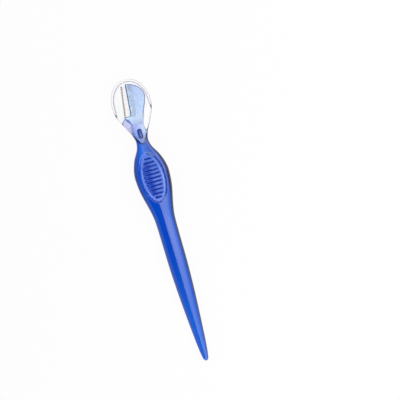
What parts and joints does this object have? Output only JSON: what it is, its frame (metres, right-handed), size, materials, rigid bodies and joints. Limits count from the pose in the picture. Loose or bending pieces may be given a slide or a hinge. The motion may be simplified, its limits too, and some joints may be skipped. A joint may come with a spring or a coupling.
{
  "type": "eyebrow razor",
  "caption": "Slim translucent hand razor with a ribbed oval grip, a short guarded blade held in a thin side plate, and a clear teardrop cap that pulls off.",
  "frame": {"origin": "centre of the footprint on the surface that the razor lies on, on its back", "axes": "+Y along the razor from the tail to the cap, +Z out of the front face, +X across the razor, away from the cutting edge"},
  "size_m": [0.0214, 0.158, 0.008],
  "materials": {
    "handle_plastic": "translucent royal blue, glossy moulding",
    "head_plastic": "the same translucent blue, pale where it is thin",
    "blade_steel": "fine ground stainless strip",
    "guard_steel": "fine stamped stainless comb",
    "clear_plastic": "clear glossy moulding"
  },
  "bodies": {
    "razor": {"handle": "handle_plastic", "blade_carrier": "head_plastic", "blade": "blade_steel", "comb_guard": "guard_steel", "blade_cover": "head_plastic"},
    "cap": {"cap": "clear_plastic"}
  },
  "joints": [
    {"name": "cap_slide", "type": "slide", "parent": "razor", "child": "cap", "axis": [0, 1, 0], "range_m": [0, 0.036]}
  ]
}
